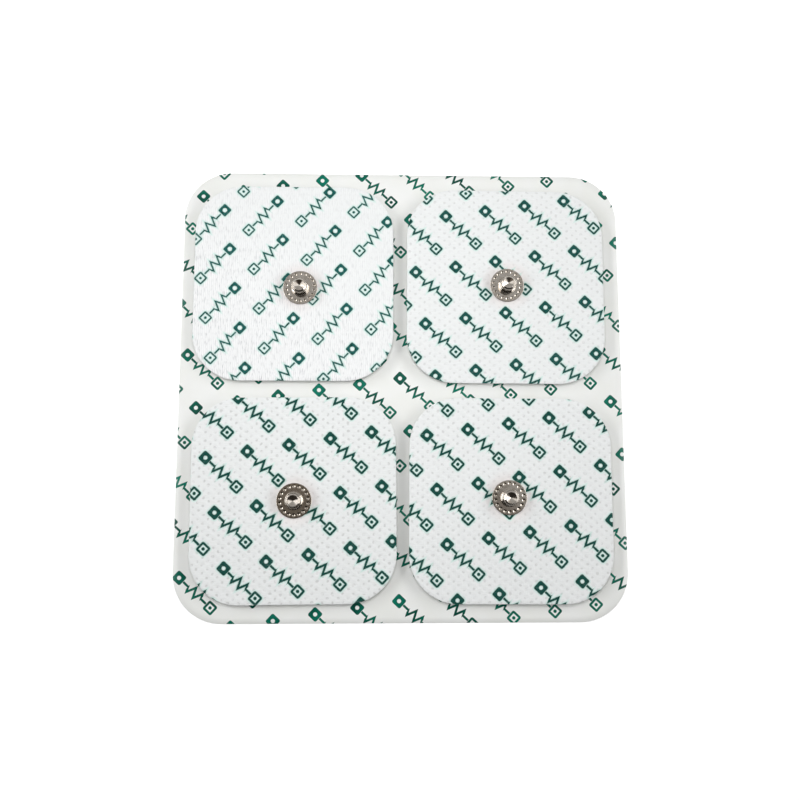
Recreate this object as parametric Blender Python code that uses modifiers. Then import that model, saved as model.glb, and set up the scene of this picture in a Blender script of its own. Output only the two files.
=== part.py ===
"""Four snap electrode pads on one shared release liner, at real size.

The card lies flat: the liner's underside is at z = 0, its middle is at x = y = 0, and the snaps
point up. Each pad is a laminate. From the liner up it is hydrogel, carbon film and fabric cover,
held together in the middle by a two-part snap: an eyelet from below and a stud from above.
All sizes are in metres.
"""

import math

import bmesh
import bpy
from mathutils import Vector

# Pad outline and layout
PAD_SIDE = 0.0500
PAD_CORNER = 0.0120
COLUMN_GAP = 0.0033
ROW_GAP = 0.0038

# Release liner
SIDE_MARGIN = 0.00375
END_MARGIN = 0.00455
LINER_CORNER = 0.0120
LINER_THICKNESS = 0.0002

# Laminated layers, and the bond line left between neighbours
GEL_THICKNESS = 0.0010
GEL_SETBACK = 0.0003
FILM_THICKNESS = 0.00015
FILM_SETBACK = 0.0002
COVER_THICKNESS = 0.0004
BOND_LINE = 0.00005

# Soft shoulder where the cover's cut edge is pressed down
SHOULDER_WIDTH = 0.0010
SHOULDER_DROP = 0.0003

# Pressed seat that the stud's flange sits in
SEAT_DEPTH = 0.0002
SEAT_SLOPE = 0.0004
SEAT_CLEARANCE = 0.0002

# Stud, the front half of the snap, stamped from sheet
STUD_SHEET = 0.00025
FLANGE_RADIUS = 0.00428
FLANGE_ROUNDING = 0.0001
STEP_RADIUS = 0.0024
STEP_HEIGHT = 0.0003
STEP_LEAN = 0.00012
CONE_HEIGHT = 0.0003
NECK_RADIUS = 0.0016
NECK_HEIGHT = 0.0006
HEAD_HEIGHT = 0.0014
HEAD_OVERHANG = 0.00035
HEAD_ROUNDING = 0.00012
HEAD_SIDE = 0.00026
LIP_HEIGHT = 0.00027
LIP_WIDTH = 0.00032
FUNNEL_RADIUS = 0.00138
FUNNEL_DEPTH = 0.00055

# Ring of dimples punched in the stud's flange
DIMPLE_COUNT = 18
DIMPLE_EDGE_DISTANCE = 0.0008
DIMPLE_RADIUS = 0.0004
DIMPLE_TIP_RADIUS = 0.00015
DIMPLE_DEPTH = 0.00013

# Eyelet, the back half of the snap, with its post crimped inside the stud
EYELET_FLANGE_RADIUS = 0.0040
EYELET_FLANGE_THICKNESS = 0.0002
CRIMP_CLEARANCE = 0.0001
HOLE_CLEARANCE = 0.0002

# Insulating patch that keeps the eyelet off the gel
PATCH_OVERLAP = 0.0020
PATCH_THICKNESS = 0.0001
POCKET_CLEARANCE = 0.0003

# How each pad was laid down: its column and row, how far it slipped from the grid, how far it
# turned in degrees, and how far off its middle the snap was punched
PADS = {
    "upper_left": {
        "column": -1, "row": 1, "slip": (-0.0006, 0.0004), "turn": 0.0, "punch": (0.0016, -0.0014)
    },
    "upper_right": {
        "column": 1, "row": 1, "slip": (-0.0005, -0.0001), "turn": -0.3, "punch": (0.0004, 0.0001)
    },
    "lower_left": {
        "column": -1, "row": -1, "slip": (0.0002, 0.0001), "turn": 0.4, "punch": (0.0001, -0.0003)
    },
    "lower_right": {
        "column": 1, "row": -1, "slip": (0.0, 0.0), "turn": -0.3, "punch": (-0.0004, 0.0005)
    },
}

# Fineness of the curved surfaces
CORNER_STEPS = 7
SHOULDER_STEPS = 3
HEAD_STEPS = 4
DIMPLE_SIDES = 6
STUD_TURN_STEPS = 2 * DIMPLE_COUNT
EYELET_TURN_STEPS = 24
SHARP_ANGLE = math.radians(35)
WELD_DISTANCE = 1e-6

# How far the cutters reach past the faces that they cut
CUTTER_REACH = 0.0010
PUNCH_REACH = 0.00005

# Heights, from the liner up
GEL_BOTTOM = LINER_THICKNESS + BOND_LINE
GEL_TOP = GEL_BOTTOM + GEL_THICKNESS
FILM_BOTTOM = GEL_TOP + BOND_LINE
COVER_BOTTOM = FILM_BOTTOM + FILM_THICKNESS + BOND_LINE
COVER_TOP = COVER_BOTTOM + COVER_THICKNESS
SEAT_LEVEL = COVER_TOP - SEAT_DEPTH
STUD_BOTTOM = SEAT_LEVEL + BOND_LINE
FLANGE_TOP = STUD_BOTTOM + STUD_SHEET
STEP_TOP = FLANGE_TOP + STEP_HEIGHT
NECK_BOTTOM = STEP_TOP + CONE_HEIGHT
NECK_TOP = NECK_BOTTOM + NECK_HEIGHT
STUD_TOP = NECK_TOP + HEAD_HEIGHT
HEAD_TOP = STUD_TOP - LIP_HEIGHT
HOLLOW_CEILING = STUD_TOP - FUNNEL_DEPTH - STUD_SHEET
EYELET_TOP = FILM_BOTTOM - BOND_LINE
EYELET_BOTTOM = EYELET_TOP - EYELET_FLANGE_THICKNESS
PATCH_TOP = EYELET_BOTTOM - BOND_LINE
PATCH_BOTTOM = PATCH_TOP - PATCH_THICKNESS

# Sizes in plan that follow from the pads and the snap
LINER_WIDTH = 2 * PAD_SIDE + COLUMN_GAP + 2 * SIDE_MARGIN
LINER_DEPTH = 2 * PAD_SIDE + ROW_GAP + 2 * END_MARGIN
FILM_INSET = SHOULDER_WIDTH + FILM_SETBACK
GEL_INSET = FILM_INSET + GEL_SETBACK
HEAD_RADIUS = NECK_RADIUS + HEAD_OVERHANG
HOLLOW_RADIUS = NECK_RADIUS - STUD_SHEET
POST_RADIUS = HOLLOW_RADIUS - CRIMP_CLEARANCE
HOLE_RADIUS = POST_RADIUS + HOLE_CLEARANCE
SEAT_RADIUS = FLANGE_RADIUS + SEAT_CLEARANCE
DIMPLE_RING_RADIUS = FLANGE_RADIUS - DIMPLE_EDGE_DISTANCE
PATCH_RADIUS = EYELET_FLANGE_RADIUS + PATCH_OVERLAP
POCKET_RADIUS = PATCH_RADIUS + POCKET_CLEARANCE


def clear_scene():
    """Removes whatever the open file holds."""
    for item in list(bpy.data.objects):
        bpy.data.objects.remove(item, do_unlink=True)


def new_collection(name):
    """A collection linked into the scene."""
    made = bpy.data.collections.new(name)
    bpy.context.scene.collection.children.link(made)
    return made


def new_material(name, colour, roughness, metallic=0.0):
    """A Principled material in one colour."""
    made = bpy.data.materials.new(name)
    made.use_nodes = True
    shader = made.node_tree.nodes["Principled BSDF"]
    shader.inputs["Base Color"].default_value = (*colour, 1.0)
    shader.inputs["Roughness"].default_value = roughness
    shader.inputs["Metallic"].default_value = metallic
    made.diffuse_color = (*colour, 1.0)
    return made


def arc(centre, radius, start, end, steps):
    """Points along an arc, both ends included, with the angles in radians."""
    angles = [start + (end - start) * i / steps for i in range(steps + 1)]
    return [
        (centre[0] + radius * math.cos(angle), centre[1] + radius * math.sin(angle))
        for angle in angles
    ]


def rounded_outline(width, depth, corner):
    """The points of a rectangle with round corners about the origin, anticlockwise."""
    across = width / 2 - corner
    along = depth / 2 - corner
    quarter = math.pi / 2
    centres = ((across, along), (-across, along), (-across, -along), (across, -along))
    points = []
    for i, centre in enumerate(centres):
        points += arc(centre, corner, i * quarter, (i + 1) * quarter, CORNER_STEPS)
    return points


def put_in(collection, name, mesh, parent=None, place=(0.0, 0.0)):
    """A new object for a mesh or an empty, at a place on its parent."""
    made = bpy.data.objects.new(name, mesh)
    collection.objects.link(made)
    made.parent = parent
    made.location = (*place, 0.0)
    return made


def plate(collection, name, outline, bottom, thickness, material, parent=None):
    """A flat layer: a filled 2D outline, extruded to its thickness and welded."""
    curve = bpy.data.curves.new(name, "CURVE")
    curve.dimensions = "2D"
    curve.fill_mode = "BOTH"
    curve.extrude = thickness / 2
    spline = curve.splines.new("POLY")
    spline.points.add(len(outline) - 1)
    for point, (x, y) in zip(spline.points, outline):
        point.co = (x, y, 0.0, 1.0)
    spline.use_cyclic_u = True
    drawn = put_in(collection, name + "_outline", curve)
    bpy.context.view_layer.update()
    evaluated = drawn.evaluated_get(bpy.context.evaluated_depsgraph_get())
    mesh = bpy.data.meshes.new_from_object(evaluated)
    bpy.data.objects.remove(drawn, do_unlink=True)
    work = bmesh.new()
    work.from_mesh(mesh)
    bmesh.ops.remove_doubles(work, verts=work.verts, dist=WELD_DISTANCE)
    bmesh.ops.translate(work, verts=work.verts, vec=Vector((0, 0, bottom + thickness / 2)))
    work.to_mesh(mesh)
    work.free()
    mesh.materials.clear()
    mesh.materials.append(material)
    return put_in(collection, name, mesh, parent)


def turned(collection, name, profile, steps, material, parent, place):
    """A turned piece: a profile of (radius, height) points that starts and ends on the axis."""
    mesh = bpy.data.meshes.new(name)
    points = [(radius, 0.0, height) for radius, height in profile]
    edges = [(i, i + 1) for i in range(len(points) - 1)]
    mesh.from_pydata(points, edges, [])
    mesh.materials.append(material)
    made = put_in(collection, name, mesh, parent, place)
    screw = made.modifiers.new("Turn", "SCREW")
    screw.axis = "Z"
    screw.steps = steps
    screw.render_steps = steps
    screw.use_merge_vertices = True
    screw.merge_threshold = WELD_DISTANCE
    screw.use_smooth_shade = True
    return made


def as_cutter(piece):
    """Marks a shape as a cutter."""
    piece.hide_render = True
    piece.display_type = "WIRE"
    return piece


def cut(target, cutter):
    """Takes a cutter's shape out of a piece."""
    boolean = target.modifiers.new("Cut by " + cutter.name, "BOOLEAN")
    boolean.operation = "DIFFERENCE"
    boolean.solver = "EXACT"
    boolean.object = cutter


def snap_space(collection, pad_name, parent, place):
    """The space that a snap takes in the layers: gel pocket, post hole and flange seat."""
    mid_bond = GEL_TOP + BOND_LINE / 2
    above = COVER_TOP + CUTTER_REACH
    slope = SEAT_SLOPE / SEAT_DEPTH
    mouth_radius = SEAT_RADIUS + slope * (above - SEAT_LEVEL)
    profile = [
        (0.0, above),
        (mouth_radius, above),
        (SEAT_RADIUS, SEAT_LEVEL),
        (HOLE_RADIUS, SEAT_LEVEL),
        (HOLE_RADIUS, mid_bond),
        (POCKET_RADIUS, mid_bond),
        (POCKET_RADIUS, PATCH_BOTTOM - BOND_LINE),
        (0.0, PATCH_BOTTOM - BOND_LINE),
    ]
    material = bpy.data.materials["Cutter"]
    made = turned(
        collection, pad_name + "_snap_space", profile, STUD_TURN_STEPS, material, parent, place
    )
    return as_cutter(made)


def dimple_ring(collection, pad_name, parent, place):
    """The punches for the ring of dimples: blunt cones that point down into the flange."""
    work = bmesh.new()
    height = DIMPLE_DEPTH + PUNCH_REACH
    spread = (DIMPLE_RADIUS - DIMPLE_TIP_RADIUS) / DIMPLE_DEPTH
    for i in range(DIMPLE_COUNT):
        angle = 2 * math.pi * (i + 0.5) / DIMPLE_COUNT
        made = bmesh.ops.create_cone(
            work, cap_ends=True, segments=DIMPLE_SIDES, radius1=DIMPLE_TIP_RADIUS,
            radius2=DIMPLE_TIP_RADIUS + spread * height, depth=height
        )
        centre = Vector((
            DIMPLE_RING_RADIUS * math.cos(angle),
            DIMPLE_RING_RADIUS * math.sin(angle),
            FLANGE_TOP - DIMPLE_DEPTH + height / 2,
        ))
        bmesh.ops.translate(work, verts=made["verts"], vec=centre)
    mesh = bpy.data.meshes.new(pad_name + "_dimple_ring")
    work.to_mesh(mesh)
    work.free()
    return as_cutter(put_in(collection, mesh.name, mesh, parent, place))


def stud_profile():
    """The stamped stud in section: funnel and its lip, head, neck, cone, flange, hollow."""
    funnel = [
        (0.0, STUD_TOP - FUNNEL_DEPTH),
        (FUNNEL_RADIUS, STUD_TOP),
        (FUNNEL_RADIUS + LIP_WIDTH, HEAD_TOP),
    ]
    centre = (HEAD_RADIUS - HEAD_ROUNDING, HEAD_TOP - HEAD_ROUNDING)
    head = arc(centre, HEAD_ROUNDING, math.pi / 2, 0.0, HEAD_STEPS)
    outside = [
        (HEAD_RADIUS, HEAD_TOP - HEAD_ROUNDING - HEAD_SIDE),
        (NECK_RADIUS, NECK_TOP),
        (NECK_RADIUS, NECK_BOTTOM),
        (STEP_RADIUS - STEP_LEAN, STEP_TOP),
        (STEP_RADIUS, FLANGE_TOP),
        (FLANGE_RADIUS - FLANGE_ROUNDING, FLANGE_TOP),
        (FLANGE_RADIUS, FLANGE_TOP - FLANGE_ROUNDING),
        (FLANGE_RADIUS, STUD_BOTTOM),
    ]
    hollow = [
        (STEP_RADIUS - STUD_SHEET, STUD_BOTTOM),
        (STEP_RADIUS - STEP_LEAN - STUD_SHEET, STEP_TOP - STUD_SHEET),
        (HOLLOW_RADIUS, NECK_BOTTOM - STUD_SHEET),
        (HOLLOW_RADIUS, HOLLOW_CEILING),
        (0.0, HOLLOW_CEILING),
    ]
    return funnel + head + outside + hollow


def eyelet_profile():
    """The eyelet in section: a post that fills the stud's hollow, on a thin round flange."""
    post_top = HOLLOW_CEILING - CRIMP_CLEARANCE
    return [
        (0.0, post_top),
        (POST_RADIUS, post_top),
        (POST_RADIUS, EYELET_TOP),
        (EYELET_FLANGE_RADIUS, EYELET_TOP),
        (EYELET_FLANGE_RADIUS, EYELET_BOTTOM),
        (0.0, EYELET_BOTTOM),
    ]


def patch_profile():
    """The insulating patch in section: a thin disc."""
    return [
        (0.0, PATCH_TOP),
        (PATCH_RADIUS, PATCH_TOP),
        (PATCH_RADIUS, PATCH_BOTTOM),
        (0.0, PATCH_BOTTOM),
    ]


def cover_sheet(collection, name, material, parent):
    """The fabric cover: a sheet whose edge curves down along a parabola, made thick by Solidify."""
    work = bmesh.new()
    outline = rounded_outline(PAD_SIDE, PAD_SIDE, PAD_CORNER)
    rim = [work.verts.new((x, y, COVER_TOP - SHOULDER_DROP)) for x, y in outline]
    top = work.faces.new(rim)
    work.normal_update()
    step = SHOULDER_WIDTH / SHOULDER_STEPS
    for i in range(SHOULDER_STEPS):
        outer_drop = SHOULDER_DROP * (1 - i / SHOULDER_STEPS) ** 2
        inner_drop = SHOULDER_DROP * (1 - (i + 1) / SHOULDER_STEPS) ** 2
        bmesh.ops.inset_region(
            work, faces=[top], thickness=step, depth=outer_drop - inner_drop,
            use_even_offset=True, use_boundary=True
        )
    mesh = bpy.data.meshes.new(name)
    work.to_mesh(mesh)
    work.free()
    mesh.materials.append(material)
    made = put_in(collection, name, mesh, parent)
    solidify = made.modifiers.new("Fabric thickness", "SOLIDIFY")
    solidify.thickness = COVER_THICKNESS
    solidify.offset = -1.0
    return made


def smooth_round_faces(piece):
    """Shades a piece smooth and keeps its sharp edges."""
    piece.data.shade_smooth()
    piece.data.set_sharp_from_angle(angle=SHARP_ANGLE)


def build_pad(parts, cutters, materials, pad_name, laid):
    """One pad and its snap, hung on an empty that stands where the pad was laid."""
    pitch = (PAD_SIDE + COLUMN_GAP, PAD_SIDE + ROW_GAP)
    empty = put_in(cutters, pad_name + "_place", None)
    empty.location = (
        laid["column"] * pitch[0] / 2 + laid["slip"][0],
        laid["row"] * pitch[1] / 2 + laid["slip"][1],
        0.0,
    )
    empty.rotation_euler.z = math.radians(laid["turn"])
    punch = laid["punch"]
    space = snap_space(cutters, pad_name, empty, punch)

    layers = (
        ("hydrogel", GEL_INSET, GEL_BOTTOM, GEL_THICKNESS),
        ("carbon_film", FILM_INSET, FILM_BOTTOM, FILM_THICKNESS),
    )
    for layer, inset, bottom, thickness in layers:
        side = PAD_SIDE - 2 * inset
        outline = rounded_outline(side, side, PAD_CORNER - inset)
        name = pad_name + "_" + layer
        made = plate(parts, name, outline, bottom, thickness, materials[layer], empty)
        cut(made, space)
    cover = cover_sheet(parts, pad_name + "_cover", materials["cover"], empty)
    cut(cover, space)

    turned_pieces = (
        ("snap_stud", stud_profile(), STUD_TURN_STEPS),
        ("snap_eyelet", eyelet_profile(), EYELET_TURN_STEPS),
        ("eyelet_patch", patch_profile(), EYELET_TURN_STEPS),
    )
    for piece, profile, steps in turned_pieces:
        name = pad_name + "_" + piece
        made = turned(parts, name, profile, steps, materials[piece], empty, punch)
        if piece == "snap_stud":
            cut(made, dimple_ring(cutters, pad_name, empty, punch))
            smooth_round_faces(made)


def main():
    """Builds the card."""
    clear_scene()
    parts = new_collection("electrode_card")
    cutters = new_collection("cutters")
    new_material("Cutter", (0.9, 0.3, 0.2), 0.5)
    materials = {
        "liner": new_material("Liner film", (0.86, 0.87, 0.84), 0.30),
        "hydrogel": new_material("Hydrogel", (0.78, 0.76, 0.66), 0.15),
        "carbon_film": new_material("Carbon film", (0.02, 0.02, 0.02), 0.55),
        "cover": new_material("Non-woven fabric", (0.88, 0.89, 0.88), 0.90),
        "snap_stud": new_material("Nickel", (0.62, 0.59, 0.55), 0.22, 1.0),
        "snap_eyelet": new_material("Nickel eyelet", (0.60, 0.58, 0.55), 0.30, 1.0),
        "eyelet_patch": new_material("Insulating film", (0.85, 0.85, 0.83), 0.50),
    }
    outline = rounded_outline(LINER_WIDTH, LINER_DEPTH, LINER_CORNER)
    plate(parts, "release_liner", outline, 0.0, LINER_THICKNESS, materials["liner"])
    for pad_name, laid in PADS.items():
        build_pad(parts, cutters, materials, pad_name, laid)


main()
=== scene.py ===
# %% [markdown]
# # Four snap electrode pads on a release liner
# The object is a card as it comes out of its bag: a printed, slippery liner that carries four
# square pads. Each pad is soft non-woven fabric over a black carbon film and a slab of clear,
# tacky gel, with a nickel snap in its middle for the lead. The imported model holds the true
# places and sizes, so it is loaded first and every piece below is measured from it.

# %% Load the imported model
import math

import bmesh
import bpy
import numpy as np
from mathutils import Matrix, Vector


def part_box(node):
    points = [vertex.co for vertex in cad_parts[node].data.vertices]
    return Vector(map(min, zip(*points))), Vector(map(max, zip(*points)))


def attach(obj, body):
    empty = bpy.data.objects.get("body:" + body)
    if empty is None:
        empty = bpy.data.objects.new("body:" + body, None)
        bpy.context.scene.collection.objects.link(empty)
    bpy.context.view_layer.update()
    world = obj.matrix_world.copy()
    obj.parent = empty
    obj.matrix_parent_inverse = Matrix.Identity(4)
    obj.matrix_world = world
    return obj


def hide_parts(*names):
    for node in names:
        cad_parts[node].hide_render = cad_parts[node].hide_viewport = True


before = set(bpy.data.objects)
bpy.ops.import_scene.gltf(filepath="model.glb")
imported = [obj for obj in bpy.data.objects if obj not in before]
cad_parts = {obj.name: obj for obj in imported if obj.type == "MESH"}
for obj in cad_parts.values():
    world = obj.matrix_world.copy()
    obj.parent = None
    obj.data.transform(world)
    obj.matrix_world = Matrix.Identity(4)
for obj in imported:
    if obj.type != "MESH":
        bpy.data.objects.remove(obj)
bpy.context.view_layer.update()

MM = 0.001
PADS = sorted(name[: -len("_cover")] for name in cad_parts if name.endswith("_cover"))
print("pads:", ", ".join(PADS))

# %% [markdown]
# ## The camera
# The picture looks down on the card from nearly overhead, from a little below its middle. A
# camera that looks straight down points along its own -Z with +Y up the picture, so three small
# turns from there are enough. It could also be aimed with a Track To constraint, but plain turns
# also keep the small roll of a camera held by hand.

# %% Camera
CAMERA_PLACE = Vector((-0.0056, -0.0236, 0.1825))
CAMERA_TILT = (("X", 6.69), ("Y", -1.58), ("Z", 0.18))
CAMERA_LENS = 33.075

camera = bpy.data.objects.new("camera", bpy.data.cameras.new("camera"))
camera.data.lens = CAMERA_LENS
camera.data.clip_start = 1 * MM
camera.matrix_world = Matrix.Translation(CAMERA_PLACE)
for axis, degrees in CAMERA_TILT:
    camera.matrix_world = camera.matrix_world @ Matrix.Rotation(math.radians(degrees), 4, axis)
bpy.context.scene.collection.objects.link(camera)
bpy.context.scene.camera = camera
bpy.context.scene.view_settings.view_transform = "Standard"
print("camera at", tuple(round(x, 4) for x in camera.matrix_world.translation))

# %% [markdown]
# ## Small helpers for node trees
# Every finish below is a node tree. Writing one out takes three moves again and again: make a
# node, set or link its inputs, and read an output. One helper makes and feeds a node, and the
# others name what is used most, so that a formula reads nearly as it would on paper.

# %% Node helpers
def add(tree, kind, inputs=None, **settings):
    """A new node. Each input is given a value, or linked where a socket is given."""
    made = tree.nodes.new(kind)
    for name, value in settings.items():
        setattr(made, name, value)
    for key, value in (inputs or {}).items():
        if isinstance(value, bpy.types.NodeSocket):
            tree.links.new(value, made.inputs[key])
        else:
            made.inputs[key].default_value = value
    return made


def calc(tree, operation, *values):
    """The result of one Math node."""
    return add(tree, "ShaderNodeMath", dict(enumerate(values)), operation=operation).outputs[0]


def fade(tree, value, start, end, low=0.0, high=1.0):
    """An S-curve from low to high while the value goes from start to end."""
    sockets = {"Value": value, "From Min": start, "From Max": end, "To Min": low, "To Max": high}
    return add(tree, "ShaderNodeMapRange", sockets, interpolation_type="SMOOTHSTEP").outputs[0]


def mix(tree, share, first, second):
    """A mix of two values."""
    return add(tree, "ShaderNodeMix", {0: share, 2: first, 3: second}).outputs[0]


def blend(tree, share, first, second):
    """A mix of two colours."""
    sockets = {0: share, 6: first, 7: second}
    return add(tree, "ShaderNodeMix", sockets, data_type="RGBA").outputs[2]


def noise(tree, place, scale, detail):
    """The outputs of a Noise texture at a place."""
    return add(
        tree, "ShaderNodeTexNoise", {"Vector": place, "Scale": scale, "Detail": detail}
    ).outputs


def new_group(name, inputs, outputs):
    """A shader node group with named sockets, and its input and output nodes."""
    tree = bpy.data.node_groups.new(name, "ShaderNodeTree")
    for side, sockets in (("INPUT", inputs), ("OUTPUT", outputs)):
        for socket, kind in sockets.items():
            tree.interface.new_socket(socket, in_out=side, socket_type="NodeSocket" + kind)
    return tree, tree.nodes.new("NodeGroupInput").outputs, tree.nodes.new("NodeGroupOutput").inputs


def use_group(tree, group, **inputs):
    """A group placed in a material, with this material's values."""
    sockets = {name.replace("_", " "): value for name, value in inputs.items()}
    return add(tree, "ShaderNodeGroup", sockets, node_tree=group).outputs


def new_material(name, **sockets):
    """A material with its Principled shader's own sockets set."""
    made = bpy.data.materials.new(name)
    made.use_nodes = True
    shader = made.node_tree.nodes["Principled BSDF"]
    for socket, value in sockets.items():
        shader.inputs[socket.replace("_", " ")].default_value = value
    return made, made.node_tree, shader.inputs

# %% [markdown]
# ## The table, the light and the room
# The card lies on a white table. Two long lamps stand low to its left and right, like a pair of
# windows, which puts a soft grey band beside each side of a pad and a glint on each side of a
# snap. A small lamp close overhead, a little toward the top edge, makes the card's light fall
# off toward its bottom right corner. Polished nickel also shows the room: it is brightest to
# the left and right, light past the card's top edge and dark toward whoever holds the camera.
# A picture of a real room could light the scene instead, but three lamps and a few gradients
# are plainer and need no file.

# %% Lamps
def lamp(name, place, aim, sides, power, mirrored):
    """A rectangular lamp that faces a point. It may be left out of mirrors and of the view."""
    made = bpy.data.objects.new(name, bpy.data.lights.new(name, "AREA"))
    made.data.shape = "RECTANGLE"
    made.data.size, made.data.size_y = sides
    made.data.energy = power
    made.location = place
    made.rotation_euler = (Vector(aim) - Vector(place)).to_track_quat("-Z", "Y").to_euler()
    made.visible_glossy = mirrored
    made.visible_camera = mirrored
    bpy.context.scene.collection.objects.link(made)


LAMPS = (
    ("left_lamp", (-0.41, 0.05, 0.21), (0.0, 0.0, 0.0), (0.60, 0.12), 1.36, True),
    ("right_lamp", (0.41, 0.03, 0.21), (0.0, 0.0, 0.0), (0.60, 0.12), 1.36, True),
    ("overhead_lamp", (-0.012, 0.030, 0.17), (-0.012, 0.030, 0.0), (0.10, 0.10), 0.172, False),
)
for lamp_values in LAMPS:
    lamp(*lamp_values)
print(len(LAMPS), "lamps")

# %% Room
ROOM_LIGHT = 0.08
MIRRORED_NEAR = 0.07
MIRRORED_FAR = 0.66
MIRRORED_SIDES = 1.7
# Where each gradient starts and ends, as parts of a direction one unit long
NEAR_TO_FAR = (-0.40, -0.10)
SIDES_BEGIN = (0.36, 0.48)
SIDES_NEAR_END = (-0.34, -0.20)
SIDES_FAR_END = (0.56, 0.36)

room = bpy.data.worlds.new("room")
bpy.context.scene.world = room
room.use_nodes = True
room_tree = room.node_tree
room_tree.nodes.clear()
direction = room_tree.nodes.new("ShaderNodeTexCoord").outputs["Generated"]
toward = add(room_tree, "ShaderNodeSeparateXYZ", {0: direction}).outputs
gradient = fade(room_tree, toward["Y"], *NEAR_TO_FAR, MIRRORED_NEAR, MIRRORED_FAR)
sides = fade(room_tree, calc(room_tree, "ABSOLUTE", toward["X"]), *SIDES_BEGIN)
sides = calc(room_tree, "MULTIPLY", sides, fade(room_tree, toward["Y"], *SIDES_NEAR_END))
sides = calc(room_tree, "MULTIPLY", sides, fade(room_tree, toward["Y"], *SIDES_FAR_END))
mirrored = mix(room_tree, sides, gradient, MIRRORED_SIDES)
rays = room_tree.nodes.new("ShaderNodeLightPath").outputs
strength = mix(room_tree, rays["Is Glossy Ray"], ROOM_LIGHT, mirrored)
strength = mix(room_tree, rays["Is Camera Ray"], strength, 1.0)
backdrop = add(room_tree, "ShaderNodeBackground", {"Strength": strength})
add(room_tree, "ShaderNodeOutputWorld", {"Surface": backdrop.outputs[0]})
print("room of", len(room_tree.nodes), "nodes")

# %% [markdown]
# Whoever holds the camera leans over the near half of the card, and the two lower snaps mirror
# that. A dim board just above the camera stands in for them. Only mirror-like surfaces see it,
# so it takes no light away from the card.

# %% Dim board
BOARD_HEIGHT = 0.19
BOARD_OUTLINE = (
    (-0.26, -0.30), (0.26, -0.30), (0.25, -0.105), (0.10, -0.07), (0.02, 0.01), (-0.08, 0.015),
    (-0.14, -0.04), (-0.24, -0.08),
)
BOARD_DARK = 0.035
BOARD_LIGHT = 0.22
BOARD_FADE = (-0.07, -0.025)
BOARD_WARMTH = (1.0, 0.89, 0.77, 1.0)


def plate(name, outline, height):
    """A flat plate that faces up, or down where its outline runs clockwise."""
    mesh = bpy.data.meshes.new(name)
    mesh.from_pydata([(x, y, height) for x, y in outline], [], [tuple(range(len(outline)))])
    made = bpy.data.objects.new(name, mesh)
    bpy.context.scene.collection.objects.link(made)
    return made


board = plate("dim_board", BOARD_OUTLINE[::-1], BOARD_HEIGHT)
board.visible_camera = False
board.visible_diffuse = False
board.visible_transmission = False
board.visible_shadow = False

dim_board, tree, sockets = new_material(
    "dim_board", Base_Color=(0.0, 0.0, 0.0, 1.0), Specular_IOR_Level=0.0,
    Emission_Color=BOARD_WARMTH,
)
board_place = tree.nodes.new("ShaderNodeTexCoord").outputs["Object"]
board_y = add(tree, "ShaderNodeSeparateXYZ", {0: board_place}).outputs["Y"]
board_glow = fade(tree, board_y, *BOARD_FADE, BOARD_DARK, BOARD_LIGHT)
tree.links.new(board_glow, sockets["Emission Strength"])
board.data.materials.append(dim_board)
print("dim board at", BOARD_HEIGHT, "m")

# %% Table
TABLE_HALF = 0.6
TABLE_DROP = 0.02 * MM
TABLE_GLOW = 0.45
TABLE_WHITE = (0.85, 0.85, 0.85, 1.0)

table_corners = np.array([(-1, -1), (1, -1), (1, 1), (-1, 1)]) * TABLE_HALF
table = plate("table", table_corners, -TABLE_DROP)

white_table, tree, sockets = new_material(
    "white_table", Base_Color=TABLE_WHITE, Roughness=0.9, Emission_Color=(1.0, 1.0, 1.0, 1.0)
)
rays = tree.nodes.new("ShaderNodeLightPath").outputs
seen_or_mirrored = calc(tree, "MAXIMUM", rays["Is Camera Ray"], rays["Is Glossy Ray"])
seen_or_mirrored = calc(tree, "MAXIMUM", seen_or_mirrored, rays["Is Transmission Ray"])
glow = calc(tree, "MULTIPLY", seen_or_mirrored, TABLE_GLOW)
tree.links.new(glow, sockets["Emission Strength"])
table.data.materials.append(white_table)
print("table", 2 * TABLE_HALF, "m square")

# %% [markdown]
# ## One way to make every surface
# The liner, the layers of a pad and a turned snap look different, but each can be worked out as
# rings of points: a shape goes round, and the rings follow its section from its middle over its
# edge to its underside. So one function turns a grid of points into a mesh, and each piece
# below is only a formula for its grid. Modelling by hand from a cylinder or a plane would give
# the same shapes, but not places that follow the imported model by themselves.

# %% From a grid of points to a piece
MERGE = 1e-7


def surface(name, points, loop=False, plan=None, marks=None):
    """A smooth mesh over points shaped (rings, steps, 3), which rides on the card.

    Each ring closes on itself. Where loop is true the last ring also joins the first, as on a
    tyre. Otherwise those two have shrunk to a point each, and the copies there are merged.
    plan is the UV map, in millimetres, and marks holds point attributes, on the same grid.
    """
    rings, steps = points.shape[:2]
    i, j = np.meshgrid(np.arange(rings if loop else rings - 1), np.arange(steps), indexing="ij")
    below, beside = (i + 1) % rings, (j + 1) % steps
    corners = [i * steps + j, below * steps + j, below * steps + beside, i * steps + beside]
    mesh = bpy.data.meshes.new(name)
    mesh.from_pydata(points.reshape(-1, 3), [], np.stack(corners, axis=-1).reshape(-1, 4))
    for mark, values in (marks or {}).items():
        layer = mesh.attributes.new(mark, "FLOAT", "POINT")
        layer.data.foreach_set("value", np.ravel(values).astype(np.float32))
    if plan is not None:
        used = np.empty(len(mesh.loops), np.int32)
        mesh.loops.foreach_get("vertex_index", used)
        uv = plan.reshape(-1, 2)[used].astype(np.float32)
        mesh.uv_layers.new(name="plan").data.foreach_set("uv", uv.ravel())
    if not loop:
        work = bmesh.new()
        work.from_mesh(mesh)
        bmesh.ops.remove_doubles(work, verts=work.verts, dist=MERGE)
        work.to_mesh(mesh)
        work.free()
    mesh.shade_smooth()
    made = bpy.data.objects.new(name, mesh)
    bpy.context.scene.collection.objects.link(made)
    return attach(made, "root")


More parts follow.
